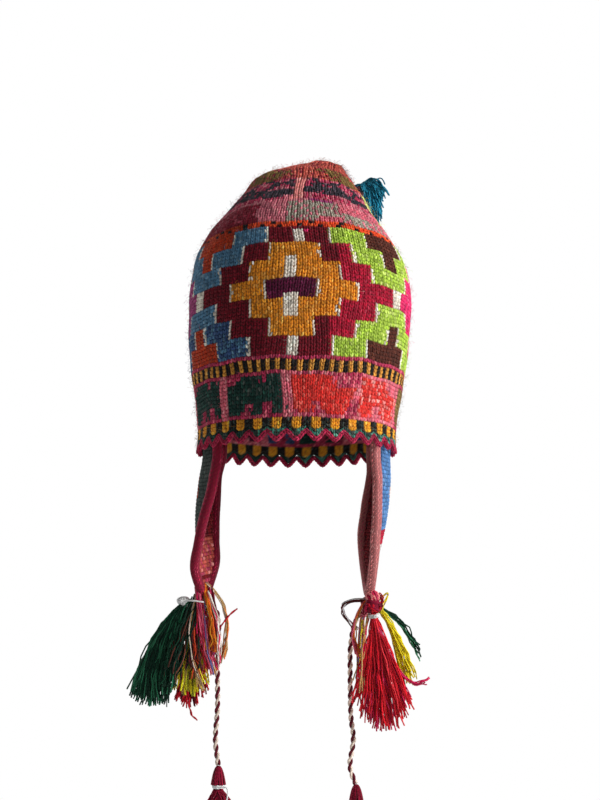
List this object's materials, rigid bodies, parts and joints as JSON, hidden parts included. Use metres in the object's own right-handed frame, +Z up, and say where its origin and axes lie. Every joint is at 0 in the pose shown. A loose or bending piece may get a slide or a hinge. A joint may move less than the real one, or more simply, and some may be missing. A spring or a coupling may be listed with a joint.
{
  "type": "chullo hat",
  "caption": "Tall knitted chullo hat with a folded tip, scalloped rim, bordered ear flaps, yarn tassels and twisted tie cords.",
  "frame": {"origin": "centre of the rim, where the hat sits on a head", "axes": "+Z up along the wearer's head, -Y the front of the hat, +X the right of a viewer in front"},
  "size_m": [0.2333, 0.1982, 0.5781],
  "materials": {
    "crown_knit": "matt knitted wool in many colours",
    "magenta_yarn": "matt wool cord",
    "left_flap_knit": "matt knitted wool",
    "right_flap_knit": "matt knitted wool",
    "red_border": "matt worked wool border",
    "pink_border": "matt worked wool border",
    "mixed_yarn": "matt wool strands in mixed colours",
    "green_yarn": "matt wool strands",
    "yellow_yarn": "matt wool strands",
    "red_yarn": "matt wool strands",
    "white_yarn": "matt wool thread",
    "braid_yarn": "matt twisted wool cord",
    "crimson_yarn": "matt wool strands",
    "teal_yarn": "matt wool strands"
  },
  "bodies": {
    "root": {"crown": "crown_knit", "brim_edging": "magenta_yarn", "left_flap": "left_flap_knit", "right_flap": "right_flap_knit", "left_flap_edging": "red_border", "right_flap_edging": "pink_border", "left_knot": "mixed_yarn", "right_knot": "mixed_yarn", "left_green_tassel": "green_yarn", "left_yellow_tassel": "yellow_yarn", "left_red_tuft": "red_yarn", "left_mixed_tassel": "mixed_yarn", "left_tie": "white_yarn", "right_red_tassel": "red_yarn", "right_yellow_tassel": "yellow_yarn", "right_green_tassel": "green_yarn", "right_mixed_tassel": "mixed_yarn", "right_tie": "white_yarn", "left_braid": "braid_yarn", "right_braid": "braid_yarn", "left_end_tassel": "crimson_yarn", "right_end_tassel": "crimson_yarn", "left_end_tie": "white_yarn", "right_end_tie": "white_yarn", "crown_tassel": "teal_yarn"}
  },
  "joints": []
}
